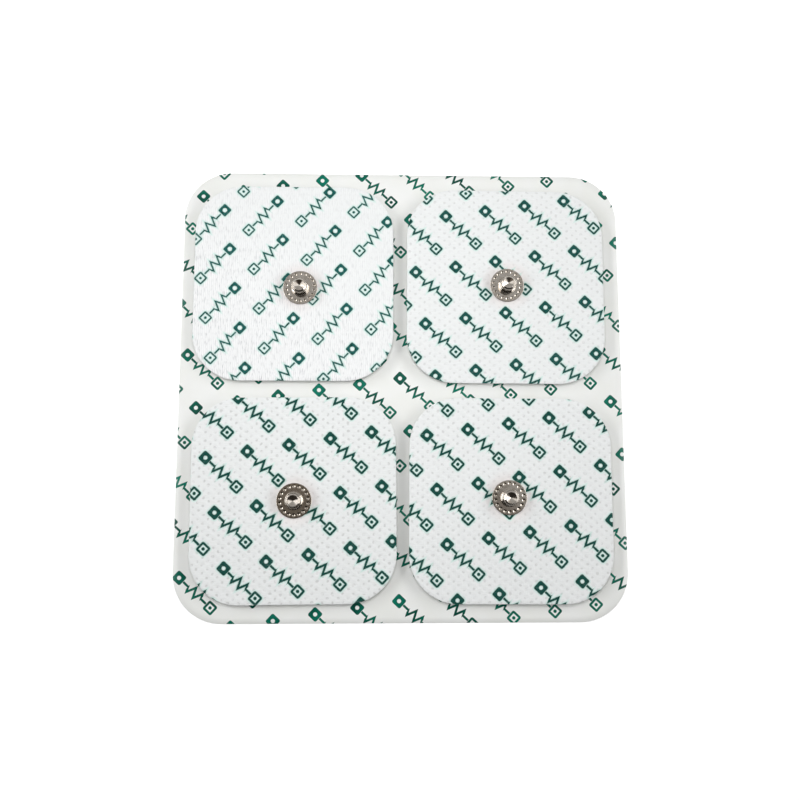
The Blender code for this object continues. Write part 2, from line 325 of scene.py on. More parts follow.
def smooth(values, start, end):
    """0 before start, 1 past end and an S-curve between them."""
    share = np.clip((values - start) / (end - start), 0.0, 1.0)
    return share * share * (3 - 2 * share)

# %% [markdown]
# ## The outline of a pad and of the card
# Both are squares with round corners. Points spaced evenly along the whole outline keep the
# faces of one ring alike, so it is drawn corner by corner first and then walked at even steps.
# The distance in from that outline is needed too, because the fabric's edge rolls down by it.
# Sizes are in millimetres from here on, and MM turns them into metres.

# %% Rounded squares
OUTLINE_STEPS = 336
QUARTER_STEPS = 40
WAVES = 6


def rounded_outline(width, depth, corner):
    """Even steps round a rectangle with round corners, anticlockwise from above.

    Four quarter circles are drawn about the corners' centres, and the line through them is
    read at equal lengths walked.
    """
    turn = np.linspace(0, math.pi / 2, QUARTER_STEPS) + np.arange(4)[:, None] * math.pi / 2
    signs = np.array([(1, 1), (-1, 1), (-1, -1), (1, -1)])
    centres = signs * (width / 2 - corner, depth / 2 - corner)
    arcs = centres[:, None] + corner * np.stack([np.cos(turn), np.sin(turn)], axis=-1)
    line = np.vstack([arcs.reshape(-1, 2), arcs[0, :1]])
    walked = np.concatenate([[0], np.cumsum(np.linalg.norm(np.diff(line, axis=0), axis=1))])
    wanted = np.linspace(0, walked[-1], OUTLINE_STEPS, endpoint=False)
    return np.stack([np.interp(wanted, walked, line[:, axis]) for axis in (0, 1)], axis=-1)


def edge_distance(plan, width, depth, corner):
    """How far inside the outline each point is: fold the plan into one quarter, measure from
    the centre of that quarter's corner, and take the result from the corner's radius."""
    folded = np.abs(plan) - (width / 2 - corner, depth / 2 - corner)
    beyond = np.linalg.norm(np.maximum(folded, 0), axis=-1)
    return corner - beyond - np.minimum(folded.max(axis=-1), 0)


def between(inner, outer, shares):
    """Rings that go from one ring to another."""
    return inner + np.asarray(shares)[:, None, None] * (outer - inner)


def with_height(plan, height):
    """Points in metres, from a plan and heights in millimetres."""
    height = np.broadcast_to(height, plan.shape[:-1])
    return np.concatenate([plan, height[..., None]], axis=-1) * MM


def ripples(plan, length, seed):
    """A gentle uneven swell from -1 to 1: the mean of waves that run in different directions."""
    chance = np.random.default_rng(seed)
    waves = 0.0
    lowest, highest = (0, 0, 0.7), (math.pi, 2 * math.pi, 1.4)
    for heading, phase, stretch in chance.uniform(lowest, highest, (WAVES, 3)):
        across = plan @ np.array((math.cos(heading), math.sin(heading)))
        waves = waves + np.sin(2 * math.pi * across / (length * stretch) + phase) / WAVES
    return waves


print("outlines of", OUTLINE_STEPS, "points")

# %% [markdown]
# ## The release liner
# A sheet of siliconised film, cut with round corners. It is thin enough that a plain slab would
# do for its shape, but its cut edge is rounded here and its face swells a little, so that light
# doesn't lie on it as on glass.

# %% Liner
LINER_CORNER = 12.0
LINER_EDGE = 0.05
LINER_SWELL = 0.02
LINER_SWELL_LENGTH = 38.0
LINER_SWELL_SEED = 5
LINER_CALM = 8.0
LINER_RINGS = 40
# Angles on the way round a cut edge, without the first and the last
CUT_BEND = np.linspace(math.pi / 2, -math.pi / 2, 7)[1:-1, None]

liner_low, liner_high = (np.array(corner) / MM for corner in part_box("release_liner"))
liner_width, liner_depth, liner_thickness = liner_high - liner_low


def liner_grid():
    """From the middle of the face out to the cut edge, round it, and back under to the middle.

    The face is a shrunken copy of the outline per ring. The edge follows half an ellipse, and
    the face's height is the thickness less a swell that dies out toward the edge.
    """
    outline = rounded_outline(liner_width, liner_depth, LINER_CORNER)
    rounding = LINER_EDGE / liner_width
    top = between(0 * outline, outline * (1 - rounding), np.linspace(0, 1, LINER_RINGS))
    inside = edge_distance(top, liner_width, liner_depth, LINER_CORNER)
    uneven = ripples(top, LINER_SWELL_LENGTH, LINER_SWELL_SEED) - 1
    swell = LINER_SWELL * uneven * smooth(inside, 0, LINER_CALM)
    edge = outline * (1 - rounding * (1 - np.cos(CUT_BEND[..., None])))
    edge_height = liner_thickness / 2 * (1 + np.sin(CUT_BEND))
    plan = np.concatenate([top, edge, top[::-1]])
    heights = np.concatenate([
        liner_thickness + swell, np.broadcast_to(edge_height, edge.shape[:2]), 0 * swell
    ])
    face = np.zeros(plan.shape[:2])
    face[:LINER_RINGS] = 1
    return with_height(plan, heights), face


liner_points, liner_face = liner_grid()
liner = surface("liner_sheet", liner_points, marks={"printed_side": liner_face})
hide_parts("release_liner")
print("liner", np.round((liner_width, liner_depth, liner_thickness), 2), "mm")

# %% [markdown]
# ## Where each pad lies
# The four pads were laid down by hand: none is quite square to the card, and no snap is quite
# in the middle of its pad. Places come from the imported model. The turns are too small to read
# from a box, so they are named here.

# %% Places of the pads
PAD_SIDE = 50.0
PAD_CORNER = 12.0
PAD_TURNS = {"upper_left": 0.0, "upper_right": -0.3, "lower_left": 0.4, "lower_right": -0.3}


def middle(node):
    """The middle of a node in plan, in millimetres."""
    low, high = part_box(node)
    return np.array(((low + high) / 2).xy) / MM


def turned(plan, degrees):
    """A plan turned anticlockwise about its origin."""
    c, s = math.cos(math.radians(degrees)), math.sin(math.radians(degrees))
    return plan @ np.array(((c, s), (-s, c)))


def laid_down(pad, plan):
    """A pad's own plan, moved to where that pad lies on the card."""
    return turned(plan, PAD_TURNS[pad]) + middle(pad + "_cover")


def snap_place(pad):
    """Where the snap is, in the pad's own plan."""
    return turned(middle(pad + "_snap_stud") - middle(pad + "_cover"), -PAD_TURNS[pad])


def pad_outline(inset=0.0):
    """The outline of one of a pad's layers, set in from the pad's own, and the way out of it."""
    side = PAD_SIDE - 2 * inset
    outline = rounded_outline(side, side, PAD_CORNER - inset)
    return outline, outline / np.linalg.norm(outline, axis=-1, keepdims=True)


for pad in PADS:
    print(pad, "at", middle(pad + "_cover").round(2), "snap off by", snap_place(pad).round(2))

# %% [markdown]
# ## The fabric covers
# Non-woven fabric is pressed over the layers below, so its cut edge rolls down softly and its
# middle is drawn down under the snap's flange. It could be simulated as cloth, but it is glued
# flat all over: a sheet whose height is a formula is closer to the real thing. Each cover is a
# ring-shaped sheet with a real thickness, cut by a punch in the middle.

# %% Grid of a cover
SHOULDER_WIDTH = 1.2
SHOULDER_DROP = 0.12
SHOULDER_POWER = 2.4
SEAT_DIP = 0.20
SEAT_INNER = 4.45
SEAT_OUTER = 5.9
PUNCHED_HOLE = 1.5
BOND_LINE = 0.05
FABRIC_THICKNESS = 0.40
FABRIC_SWELL = 0.035
FABRIC_SWELL_LENGTH = 17.0
FABRIC_SWELL_SEEDS = 10
CALM_AT_EDGE = 3.0
CALM_ROUND_SNAP = 9.0
CUT_ROUNDING = 0.06
CUT_WANDER = 0.012
CUT_WANDER_LENGTH = 3.0
# Painted shade round the snap: full up to the first distance and gone at the second, in millimetres
SNAP_SHADE_START = 4.2
SNAP_SHADE_REACH = 7.5
# How far in from its edge the cover may hang below the film's top
OVERHANG = 1.15
# Rings from the hole to the edge: closer near the snap and closest at the edge
COVER_RINGS = ((0, 0.22, 26), (0.22, 0.90, 20), (0.90, 1, 18))
PRINTED_EDGE_RINGS = 3


def snap_ring(pad, outline, radius):
    """A circle about the snap, with its points toward those of an outline."""
    spokes = outline - snap_place(pad)
    return snap_place(pad) + radius * spokes / np.linalg.norm(spokes, axis=-1, keepdims=True)


def cover_grid(pad, seed):
    """Rings over the face, round the cut edge, back under the sheet and up the punched hole.

    A point's height is the flat top, less a drop that grows as a power of how near the edge it
    is, less an S-curve's dip around the snap, plus a slight swell. The underside keeps the
    fabric's thickness below that, and no lower than the film allows.
    """
    flat_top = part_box(pad + "_cover")[1].z / MM
    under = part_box(pad + "_carbon_film")[1].z / MM + BOND_LINE
    outline, normal = pad_outline()
    wander = CUT_WANDER * (1 + ripples(outline, CUT_WANDER_LENGTH, seed))
    outline = outline - normal * wander[:, None]
    shares = np.unique(np.concatenate([np.linspace(*stretch) for stretch in COVER_RINGS]))
    hole = snap_ring(pad, outline, PUNCHED_HOLE)
    top = between(hole, outline - normal * CUT_ROUNDING, shares)
    inside = edge_distance(top, PAD_SIDE, PAD_SIDE, PAD_CORNER)
    from_snap = np.linalg.norm(top - snap_place(pad), axis=-1)
    drop = SHOULDER_DROP * (1 - np.clip(inside / SHOULDER_WIDTH, 0, 1)) ** SHOULDER_POWER
    dip = SEAT_DIP * (1 - smooth(from_snap, SEAT_INNER, SEAT_OUTER))
    calm = smooth(from_snap, SEAT_INNER, CALM_ROUND_SNAP) * smooth(inside, 0, CALM_AT_EDGE)
    uneven = ripples(top, FABRIC_SWELL_LENGTH, seed + FABRIC_SWELL_SEEDS) - 1
    face = flat_top - drop - dip + FABRIC_SWELL * uneven * calm
    back = np.maximum(face - FABRIC_THICKNESS, np.where(inside > OVERHANG, under, 0))
    edge = outline - normal * CUT_ROUNDING * (1 - np.cos(CUT_BEND[..., None]))
    edge_height = (face[-1] + back[-1]) / 2 + (face[-1] - back[-1]) / 2 * np.sin(CUT_BEND)
    plan = np.concatenate([top, edge, top[::-1]])
    printed = np.zeros(plan.shape[:2])
    printed[: len(shares) + PRINTED_EDGE_RINGS] = 1
    reach = np.linalg.norm(plan - snap_place(pad), axis=-1)
    # The painted shade round the snap is kept as a point attribute
    marks = {"printed_side": printed, "snap_shade": 1 - smooth(reach, SNAP_SHADE_START, SNAP_SHADE_REACH)}
    return plan, np.concatenate([face, edge_height, back[::-1]]), marks

# %% Covers
covers = {}
for seed, pad in enumerate(PADS):
    cover_plan, cover_height, cover_marks = cover_grid(pad, seed)
    cover_points = with_height(laid_down(pad, cover_plan), cover_height)
    covers[pad] = surface(
        pad + "_fabric", cover_points, loop=True, plan=cover_plan, marks=cover_marks
    )
    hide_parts(pad + "_cover")
    print(pad, "fabric", len(covers[pad].data.polygons), "faces")

# %% [markdown]
# ## Film and gel
# Under the fabric lies a black carbon film that spreads the current, and under that the gel
# that sticks to skin. Only their edges show, from the side. Both are slabs with a soft edge.
# The gel also has a round pocket in its top, where the patch and the back of the snap sit.

# %% Film and gel
FILM_INSET = 1.2
GEL_INSET = 1.5
FILM_HOLE = 1.5
POCKET_RADIUS = 6.3
FILM_BULGE = 0.03
GEL_BULGE = 0.18
SLAB_BEND = np.linspace(math.pi / 2, -math.pi / 2, 9)[:, None]


def slab_edge(outline, normal, bulge, low, high):
    """The side of a slab: half an ellipse that swells out by the bulge at mid height."""
    plan = outline - normal * bulge * (1 - np.cos(SLAB_BEND[..., None]))
    return plan, (high + low) / 2 + (high - low) / 2 * np.sin(SLAB_BEND) + 0 * plan[..., 0]


def film_grid(pad):
    """A flat ring: over the top, round the edge, back under, and up the hole."""
    low, high = (corner.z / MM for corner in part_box(pad + "_carbon_film"))
    outline, normal = pad_outline(FILM_INSET)
    edge, edge_height = slab_edge(outline, normal, FILM_BULGE, low, high)
    flat = between(snap_ring(pad, outline, FILM_HOLE), edge[0], np.linspace(0, 1, 12)[:-1])
    plan = np.concatenate([flat, edge, flat[::-1]])
    rest = np.zeros(flat.shape[:2])
    return plan, np.concatenate([rest + high, edge_height, rest + low])


def gel_grid(pad):
    """From the middle of the pocket's floor up its wall, over the top, round and back under."""
    low, high = (corner.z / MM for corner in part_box(pad + "_hydrogel"))
    pocket_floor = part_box(pad + "_eyelet_patch")[0].z / MM - BOND_LINE
    outline, normal = pad_outline(GEL_INSET)
    edge, edge_height = slab_edge(outline, normal, GEL_BULGE, low, high)
    centre, wall = snap_ring(pad, outline, 0), snap_ring(pad, outline, POCKET_RADIUS)
    floor = between(centre, wall, (0, 0.5, 0.98, 1))
    flat = between(wall, edge[0], np.linspace(0, 1, 10)[:-1])
    under = between(edge[-1], centre, np.linspace(0, 1, 8)[1:])
    plan = np.concatenate([floor, flat, edge, under])
    heights = np.concatenate([
        np.full(floor.shape[:2], pocket_floor), np.full(flat.shape[:2], high), edge_height,
        np.full(under.shape[:2], low),
    ])
    return plan, heights


films, gels = {}, {}
for pad in PADS:
    film_plan, film_height = film_grid(pad)
    films[pad] = surface(
        pad + "_film", with_height(laid_down(pad, film_plan), film_height), loop=True
    )
    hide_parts(pad + "_carbon_film")
    gel_plan, gel_height = gel_grid(pad)
    gels[pad] = surface(pad + "_gel", with_height(laid_down(pad, gel_plan), gel_height))
    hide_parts(pad + "_hydrogel")
print(len(films), "films and", len(gels), "gels")

# %% [markdown]
# ## The snap studs
# A stud is stamped from thin nickel-plated sheet: a flange with a ring of small dimples that
# bite on the fabric, a step, a cone, a neck and a head. In the head's top is a shallow funnel
# with a raised lip round it. A turned profile gives all of it but the dimples, and those are
# pressed into the finished grid. A Boolean with eighteen punches would leave hard edges, which
# stamping never does.

# %% Section of the stud
# Radius, height above the stud's foot and rounding of each corner, in millimetres
STUD_SECTION = (
    (0.00, 2.30, 0.00),
    (1.39, 2.86, 0.06),
    (1.72, 2.56, 0.05),
    (1.95, 2.58, 0.10),
    (1.95, 2.20, 0.16),
    (1.60, 1.45, 0.16),
    (1.60, 0.86, 0.12),
    (2.06, 0.60, 0.10),
    (2.18, 0.25, 0.08),
    (4.28, 0.25, 0.09),
    (4.28, 0.00, 0.05),
    (1.96, 0.00, 0.05),
    (1.86, 0.32, 0.05),
    (1.35, 0.60, 0.05),
    (1.35, 2.05, 0.05),
    (0.00, 2.05, 0.00),
)
SECTION_STEP = 0.09


def stud_section():
    """The section as a fine line: each corner is swapped for a short curve that starts and ends
    at the rounding's distance from it, and long straights are divided into even steps."""
    corners = np.array(STUD_SECTION)
    points, rounding = corners[:, :2], corners[:, 2]
    before = np.vstack([points[:1], points[:-1]]) - points
    after = np.vstack([points[1:], points[-1:]]) - points
    share = np.linspace(0, 1, 6)[:, None]
    line = []
    for corner, back, ahead, reach in zip(points, before, after, rounding):
        if reach == 0:
            line.append(corner[None])
            continue
        start = corner + back / np.linalg.norm(back) * reach
        end = corner + ahead / np.linalg.norm(ahead) * reach
        line.append(start * (1 - share) ** 2 + 2 * corner * share * (1 - share) + end * share**2)
    line = np.vstack(line)
    walked = np.concatenate([[0], np.cumsum(np.linalg.norm(np.diff(line, axis=0), axis=1))])
    stops = np.unique(np.concatenate([walked, np.arange(0, walked[-1], SECTION_STEP)]))
    return np.stack([np.interp(stops, walked, line[:, axis]) for axis in (0, 1)], axis=-1)


print("section of", len(stud_section()), "points")

# %% Studs with their dimples
STUD_STEPS = 270
DIMPLES = 18
DIMPLE_RING = 3.48
DIMPLE_RADIUS = 0.42
DIMPLE_FLAT = 0.08
DIMPLE_DEPTH = 0.13
FLANGE_FACE_ABOVE = 0.2
FLANGE_FACE_BEYOND = 2.5


def stud_grid(pad):
    """The section turned about the snap's axis, less a round dip at each dimple.

    The angle is folded into one dimple's share of the turn, so that one distance serves all
    eighteen. The dip is an S-curve of that distance.
    """
    section = stud_section()
    angle = np.linspace(0, 2 * math.pi, STUD_STEPS, endpoint=False)
    radius, height = section[:, :1], section[:, 1:] + 0 * angle
    share = 2 * math.pi / DIMPLES
    folded = np.mod(angle, share) - share / 2
    away = np.hypot(radius * np.cos(folded) - DIMPLE_RING, radius * np.sin(folded))
    on_flange = (height > FLANGE_FACE_ABOVE) & (radius > FLANGE_FACE_BEYOND)
    dip = DIMPLE_DEPTH * (1 - smooth(away, DIMPLE_FLAT, DIMPLE_RADIUS)) * on_flange
    x, y = radius * np.cos(angle), radius * np.sin(angle)
    points = np.stack([x, y, height - dip], axis=-1)
    plan = turned(points[..., :2], PAD_TURNS[pad]) + middle(pad + "_snap_stud")
    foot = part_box(pad + "_snap_stud")[0].z / MM
    return with_height(plan, points[..., 2] + foot), dip / DIMPLE_DEPTH


studs = {}
for pad in PADS:
    stud_points, stud_dips = stud_grid(pad)
    studs[pad] = surface(pad + "_stud", stud_points, marks={"dimple": stud_dips})
    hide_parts(pad + "_snap_stud")
print(len(studs), "studs of", len(studs[PADS[0]].data.polygons), "faces")

# %% [markdown]
# ## The printed motif
# Liner and fabric carry the same green print: rows of a small motif that run across the card at
# a slant, each row set off from the last. It is a pulse wave that runs from one pad to another:
# a filled square with a pale snap at one end, and an outlined one with a dot at the other. A
# drawn image would blur when seen close, so the motif is worked out from distances instead: each
# shape is the distance to its outline, and ink lies where any of them is below zero.

# %% Group: printed motif
ROW_SPACING = 8.0
MOTIF_PITCH = 17.2
ROW_STAGGER = 0.37 * MOTIF_PITCH
SYMBOL = {"place": 5.20, "half": 1.36, "corner": 0.50, "stroke": 0.31, "snap": 0.47, "dot": 0.44}
WAVE = {"period": 2.15, "peak": 1.15, "stroke": 0.31}
BLEED_REACH = 0.60
PRINT_SLANT = -43.0


def in_cell(tree, value, size):
    """Where a value lies in its cell of a grid, counted from the cell's middle."""
    return calc(tree, "SUBTRACT", calc(tree, "WRAP", value, size, 0.0), size / 2)


def radial(tree, x, y):
    """The distance from the origin."""
    return calc(tree, "SQRT", calc(tree, "MULTIPLY_ADD", x, x, calc(tree, "MULTIPLY", y, y)))


def printed_motif():
    """Takes a place in millimetres with rows along X, how soft the ink's edge is, and how much
    thinner than usual its lines are. Gives the ink's share there, and how near ink is, both
    from 0 to 1."""
    tree, given, result = new_group(
        "Printed motif", {"Vector": "Vector", "Softness": "Float", "Thinned": "Float"},
        {"Ink": "Float", "Bleed": "Float"},
    )
    parts = add(tree, "ShaderNodeSeparateXYZ", {0: given["Vector"]}).outputs
    row = calc(tree, "FLOOR", calc(tree, "DIVIDE", parts["Y"], ROW_SPACING))
    across = in_cell(tree, parts["Y"], ROW_SPACING)
    along = in_cell(tree, calc(tree, "MULTIPLY_ADD", row, -ROW_STAGGER, parts["X"]), MOTIF_PITCH)
    reach = calc(tree, "ABSOLUTE", along)

    # Both squares at once: fold one half of the motif onto the other
    place = calc(tree, "SUBTRACT", reach, SYMBOL["place"])
    straight = SYMBOL["half"] - SYMBOL["corner"]
    x = calc(tree, "SUBTRACT", calc(tree, "ABSOLUTE", place), straight)
    y = calc(tree, "SUBTRACT", calc(tree, "ABSOLUTE", across), straight)
    outside = radial(tree, calc(tree, "MAXIMUM", x, 0.0), calc(tree, "MAXIMUM", y, 0.0))
    inside = calc(tree, "MINIMUM", calc(tree, "MAXIMUM", x, y), 0.0)
    square = calc(tree, "SUBTRACT", calc(tree, "ADD", outside, inside), SYMBOL["corner"])
    from_middle = radial(tree, place, across)
    filled = calc(tree, "MAXIMUM", square, calc(tree, "SUBTRACT", SYMBOL["snap"], from_middle))
    border = calc(tree, "ABSOLUTE", calc(tree, "ADD", square, SYMBOL["stroke"]))
    border = calc(tree, "SUBTRACT", border, SYMBOL["stroke"])
    outlined = calc(tree, "MINIMUM", border, calc(tree, "SUBTRACT", from_middle, SYMBOL["dot"]))
    first = calc(tree, "LESS_THAN", along, 0.0)
    symbol = mix(tree, first, outlined, filled)

    # Two periods of a triangle wave in the middle of a straight line
    phase = calc(tree, "FRACT", calc(tree, "MULTIPLY_ADD", along, 1 / WAVE["period"], 0.25))
    beat = calc(tree, "ABSOLUTE", calc(tree, "SUBTRACT", phase, 0.5))
    beat = calc(tree, "MULTIPLY_ADD", beat, 4 * WAVE["peak"], -WAVE["peak"])
    beating = calc(tree, "LESS_THAN", reach, WAVE["period"])
    beat = calc(tree, "MULTIPLY", beat, beating)
    away = calc(tree, "ABSOLUTE", calc(tree, "SUBTRACT", across, beat))
    steepness = math.hypot(1, 4 * WAVE["peak"] / WAVE["period"])
    wave = calc(tree, "DIVIDE", away, calc(tree, "MULTIPLY_ADD", beating, steepness - 1, 1.0))
    wave = calc(tree, "SUBTRACT", wave, WAVE["stroke"])
    past_end = calc(tree, "SUBTRACT", reach, SYMBOL["place"] - SYMBOL["half"])
    wave = calc(tree, "MAXIMUM", wave, past_end)

    nearest = calc(tree, "ADD", calc(tree, "MINIMUM", symbol, wave), given["Thinned"])
    soft = given["Softness"]
    tree.links.new(fade(tree, nearest, soft, calc(tree, "MULTIPLY", soft, -1.0)), result["Ink"])
    tree.links.new(fade(tree, nearest, BLEED_REACH, 0.0), result["Bleed"])
    return tree


PRINTED_MOTIF = printed_motif()
print("motif group of", len(PRINTED_MOTIF.nodes), "nodes")

# %% [markdown]
# ## The non-woven web
# Loose fibres that mostly run one way are bonded by small hot points in a diamond lattice. A
# bond point is a tiny smooth dent, and the web puffs up between four of them. Dots come from
# two interleaved grids, and fibres from noise that is stretched along the web.

# %% Group: bonded web
LATTICE = (2.5, 2.0)
DOT_RADIUS = 0.32
LATTICE_WANDER = (0.9, 0.9, 0.0)
PUFF_REACH = 1.05
PUFF_SHARE = 0.65
# Each layer of fibres: its turn in degrees, how fine it is along and across, and its share
FIBRE_LAYERS = ((4.0, 0.55, 4.2, 0.45), (-9.0, 0.8, 6.5, 0.35), (28.0, 1.2, 7.5, 0.20))


def bonded_web():
    """Takes a place in millimetres with the fibres along X. Gives the bond dots, a fibre value
    and the height of the web, each from 0 to 1."""
    tree, given, result = new_group(
        "Bonded web", {"Vector": "Vector"}, {"Dots": "Float", "Fibres": "Float", "Height": "Float"}
    )
    wander = noise(tree, given["Vector"], 0.5, 1.0)["Color"]
    drift = add(
        tree, "ShaderNodeVectorMath", {0: wander, 1: LATTICE_WANDER, 2: given["Vector"]},
        operation="MULTIPLY_ADD",
    ).outputs[0]
    nearest = None
    for offset in ((0.0, 0.0, 0.0), (LATTICE[0] / 2, LATTICE[1] / 2, 0.0)):
        moved = add(tree, "ShaderNodeVectorMath", {0: drift, 1: offset}, operation="ADD").outputs[0]
        parts = add(tree, "ShaderNodeSeparateXYZ", {0: moved}).outputs
        away = radial(tree, *(in_cell(tree, parts[i], LATTICE[i]) for i in (0, 1)))
        nearest = away if nearest is None else calc(tree, "MINIMUM", nearest, away)
    strength = fade(tree, noise(tree, given["Vector"], 1.1, 1.0)["Fac"], 0.38, 0.60, 0.22, 1.0)
    dots = calc(tree, "MULTIPLY", fade(tree, nearest, DOT_RADIUS * 1.5, DOT_RADIUS * 0.6), strength)
    tree.links.new(dots, result["Dots"])

    fibres = 0.0
    for degrees, along, across, share in FIBRE_LAYERS:
        sockets = {
            "Vector": given["Vector"], "Rotation": (0.0, 0.0, math.radians(degrees)),
            "Scale": (along, across, 1.0),
        }
        laid = add(tree, "ShaderNodeMapping", sockets).outputs[0]
        fibres = calc(tree, "MULTIPLY_ADD", noise(tree, laid, 1.0, 3.0)["Fac"], share, fibres)
    fibres = fade(tree, fibres, 0.34, 0.66)
    tree.links.new(fibres, result["Fibres"])
    puff = fade(tree, nearest, DOT_RADIUS * 0.7, PUFF_REACH)
    height = calc(tree, "MULTIPLY", puff, PUFF_SHARE)
    height = calc(tree, "MULTIPLY_ADD", fibres, 1 - PUFF_SHARE, height)
    tree.links.new(height, result["Height"])
    return tree


BONDED_WEB = bonded_web()
print("web group of", len(BONDED_WEB.nodes), "nodes")

# %% [markdown]
# ## Fine grain for the smooth materials
# Liner, gel, film, patch and nickel are smooth, but none is even: each is a little cloudy and
# has a very fine relief. They share one group, each with its own scale.

# %% Group: fine grain
BROAD_SHARE = 0.6


def fine_grain():
    """Takes a place, and the sizes of the grain and of its clouds, all in millimetres. Gives a
    fine value, a broad value and a height, each from 0 to 1."""
    tree, given, result = new_group(
        "Fine grain", {"Vector": "Vector", "Grain": "Float", "Cloud": "Float"},
        {"Fine": "Float", "Broad": "Float", "Height": "Float"},
    )
    values = {}
    for name, size, detail in (("Fine", "Grain", 2.0), ("Broad", "Cloud", 3.0)):
        scale = calc(tree, "DIVIDE", 1.0, given[size])
        values[name] = fade(tree, noise(tree, given["Vector"], scale, detail)["Fac"], 0.3, 0.7)
        tree.links.new(values[name], result[name])
    height = calc(tree, "MULTIPLY", values["Fine"], 1 - BROAD_SHARE)
    height = calc(tree, "MULTIPLY_ADD", values["Broad"], BROAD_SHARE, height)
    tree.links.new(height, result["Height"])
    return tree


FINE_GRAIN = fine_grain()
print("grain group of", len(FINE_GRAIN.nodes), "nodes")

# %% [markdown]
# ## Colours
# All colours below are given as they look on a screen, from 0 to 255, because that is how one
# compares them by eye. Blender mixes light in linear values, so one function changes them over.

# %% Colour helpers
def colour(red, green, blue):
    """A screen colour as the linear one that a shader takes."""
    screen = np.array((red, green, blue)) / 255
    linear = np.where(screen <= 0.04045, screen / 12.92, ((screen + 0.055) / 1.055) ** 2.4)
    return (*linear.tolist(), 1.0)


def millimetres(tree):
    """Object coordinates, in millimetres."""
    place = tree.nodes.new("ShaderNodeTexCoord").outputs["Object"]
    scaled = {0: place, "Scale": 1 / MM}
    return add(tree, "ShaderNodeVectorMath", scaled, operation="SCALE").outputs[0]


def attribute(tree, name):
    """A point attribute's value."""
    return add(tree, "ShaderNodeAttribute", attribute_name=name).outputs["Fac"]


def tinted(tree, tone, mask, strength, shade):
    """A tone with another laid over it, by a mask times a strength."""
    return blend(tree, calc(tree, "MULTIPLY", mask, strength), tone, shade)


def polish(tree, sockets, value, low, high):
    """Roughness on the shader that goes from low to high as a value goes from 0 to 1."""
    tree.links.new(fade(tree, value, 0.0, 1.0, low, high), sockets["Roughness"])


def print_rows(tree, place, slide):
    """A place turned so that the print's rows run along X, and slid along and across them."""
    turn = (0.0, 0.0, math.radians(-PRINT_SLANT))
    sockets = {"Vector": place, "Rotation": turn, "Location": (*slide, 0.0)}
    return add(tree, "ShaderNodeMapping", sockets).outputs[0]


def relief(tree, sockets, height, distance):
    """A fine relief on the shader, with its full depth in metres."""
    bump = add(tree, "ShaderNodeBump", {"Height": height, "Distance": distance})
    tree.links.new(bump.outputs[0], sockets["Normal"])

# %% [markdown]
# ## The fabric's finish
# White fibres, duller in the bond dots, with the print soaked into them: ink spreads along the
# fibres, so its edge is ragged and its tone is uneven. The web was turned a quarter on one pad,
# so its lattice, its fibres and its print all turn with it.

# %% Colours of the fabric
FABRIC_WHITE = colour(240, 242, 242)
FABRIC_WHITER = colour(242, 244, 244)
# Painted light: the whiter tone laid on toward the lower left corner of a cover
FABRIC_PAINTED_LIGHT = colour(248, 249, 249)
FABRIC_SHADE = colour(230, 232, 231)
FABRIC_DOT = colour(208, 209, 208)
# Painted shade: the pinkish grey round each snap, where the fabric dips under the flange
FABRIC_SNAP_SHADE = colour(232, 224, 222)
FABRIC_RIB = colour(196, 197, 199)
FABRIC_SPECK = colour(120, 122, 118)
FABRIC_INK = colour(22, 88, 82)
FABRIC_INK_SOFT = colour(20, 78, 71)
FABRIC_INK_DARK = colour(12, 71, 62)
FABRIC_INK_DEEP = colour(6, 56, 49)
FABRIC_BLEED = colour(176, 226, 213)
# How white it is, how far the web turned, its relief in millimetres, and how strong its ribs
# and its painted light toward the lower left corner are
DOTTED_WEB = {"white": FABRIC_WHITE, "web_turn": 0.0, "relief": 0.08, "ribs": 0.0}
RIBBED_WEB = {"white": FABRIC_WHITER, "web_turn": 90.0, "relief": 0.06, "ribs": 1.0}
# The ink and how much thinner it runs, how far the print slid, how strong dots and fibres are,
# and how many cells hold a dark speck
FABRICS = {
    "upper_left": {
        **RIBBED_WEB, "ink": FABRIC_INK, "thinned": 0.10, "slide": (3.0, 5.5),
        "dots": 0.15, "fibres": 0.5, "specks": 0.35,
    },
    "upper_right": {
        **DOTTED_WEB, "ink": FABRIC_INK_SOFT, "thinned": 0.05, "slide": (9.5, 1.0),
        "dots": 0.6, "fibres": 0.6, "specks": 0.02,
    },
    "lower_left": {
        **DOTTED_WEB, "ink": FABRIC_INK_DARK, "thinned": 0.02, "slide": (2.5, 3.0),
        "dots": 0.85, "fibres": 0.7, "specks": 0.01,
    },
    "lower_right": {
        **DOTTED_WEB, "ink": FABRIC_INK_DARK, "thinned": 0.03, "slide": (12.0, 6.5),
        "dots": 0.7, "fibres": 0.6, "specks": 0.01, "ribs": 0.12,
    },
}
print(len(FABRICS), "fabrics described")

# %% [markdown]
# The upper left cover is another web: instead of bond dots it shows fine ribs that run up and
# down, with thin grey streaks and a few dark specks. Ribs come from a Wave texture that noise
# bends, streaks from noise stretched along the ribs, and specks from a Voronoi texture, of
# which only some cells are chosen. Ribs and streaks are strongest toward the lower left corner,
# where a painted light also makes the fabric whiter.

# %% Ribs and specks
RIB_SCALE = 0.65
RIB_SHARE = 0.26
STREAKS = (3.4, 0.55, 1.0)
STREAK_SHARE = 0.50
SPECK_CELL = 3.2
SPECK_SIZE = 0.09
CORNER_WAY = (-0.6, -0.8, 0.0)
CORNER_FADE = (-25.0, 20.0)


def toward_corner(tree, plan, low=0.0, high=1.0):
    """A value that grows toward the lower left corner."""
    way = {0: plan, 1: CORNER_WAY}
    reach = add(tree, "ShaderNodeVectorMath", way, operation="DOT_PRODUCT").outputs["Value"]
    return fade(tree, reach, *CORNER_FADE, low, high)


